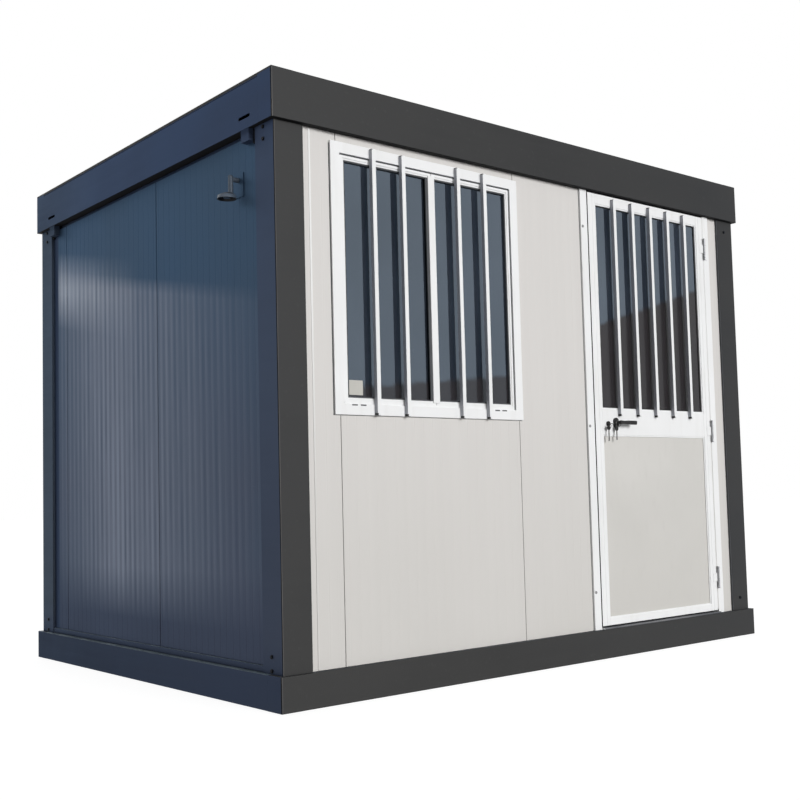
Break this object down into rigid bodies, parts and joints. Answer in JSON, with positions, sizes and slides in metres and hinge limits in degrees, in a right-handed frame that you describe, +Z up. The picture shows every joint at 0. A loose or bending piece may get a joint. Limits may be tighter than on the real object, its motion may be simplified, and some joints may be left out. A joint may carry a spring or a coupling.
{
  "type": "site cabin",
  "caption": "Single-room site cabin: grey steel frame, panel walls, a barred two-sash window and a hinged, barred and glazed door.",
  "frame": {"origin": "on the ground, at the centre of the rectangle of the four corner posts, on the underside of the middle floor joist", "axes": "+X along the long front wall, towards the door; +Y from the front wall to the back wall, so the front faces -Y; +Z up"},
  "size_m": [3.104, 2.364, 2.46],
  "materials": {
    "frame_paint": "satin",
    "front_panel_paint": "satin",
    "end_panel_paint": "satin",
    "white_aluminium": "satin",
    "hinge_metal": "satin",
    "glass": "gloss",
    "black_plastic": "matte",
    "inlet_plastic": "matte",
    "joist_paint": "matte",
    "deck": "matte",
    "roof_sheet": "satin",
    "ceiling": "matte"
  },
  "bodies": {
    "cabin": {"base_beam_front": "frame_paint", "base_beam_back": "frame_paint", "base_beam_left": "frame_paint", "base_beam_right": "frame_paint", "base_corners": "frame_paint", "floor_joists": "joist_paint", "floor_deck": "deck", "post_front_left": "frame_paint", "post_front_right": "frame_paint", "post_back_left": "frame_paint", "post_back_right": "frame_paint", "roof_beam_front": "frame_paint", "roof_beam_back": "frame_paint", "roof_beam_left": "frame_paint", "roof_beam_right": "frame_paint", "roof_corners": "frame_paint", "roof_sheet": "roof_sheet", "ceiling_panel": "ceiling", "front_wall_left": "front_panel_paint", "front_wall_window": "front_panel_paint", "front_wall_middle": "front_panel_paint", "front_wall_right": "front_panel_paint", "left_wall_front": "end_panel_paint", "left_wall_middle": "end_panel_paint", "left_wall_back": "end_panel_paint", "right_wall_front": "end_panel_paint", "right_wall_middle": "end_panel_paint", "right_wall_back": "end_panel_paint", "back_wall_left": "front_panel_paint", "back_wall_middle": "front_panel_paint", "back_wall_right": "front_panel_paint", "window_frame": "white_aluminium", "window_sashes": "white_aluminium", "window_glass": "glass", "window_bars": "white_aluminium", "door_frame": "white_aluminium", "door_hinge_pins": "hinge_metal", "power_inlet": "inlet_plastic"},
    "door": {"door_leaf": "white_aluminium", "door_glass": "glass", "door_panel": "front_panel_paint", "door_bars": "white_aluminium", "door_knuckles": "hinge_metal", "door_lock": "black_plastic"},
    "handle": {"door_handle": "black_plastic"}
  },
  "joints": [
    {"name": "door_hinge", "type": "hinge", "parent": "cabin", "child": "door", "pos_m": [1.2295, -1.158, 1.2], "axis": [0, 0, 1], "range_deg": [0, 100]},
    {"name": "handle_pivot", "type": "hinge", "parent": "door", "child": "handle", "pos_m": [0.452, -1.17, 1.124], "axis": [0, 1, 0], "range_deg": [0, 40], "stiffness_Nm_per_rad": 1, "springref_deg": -17.19}
  ]
}
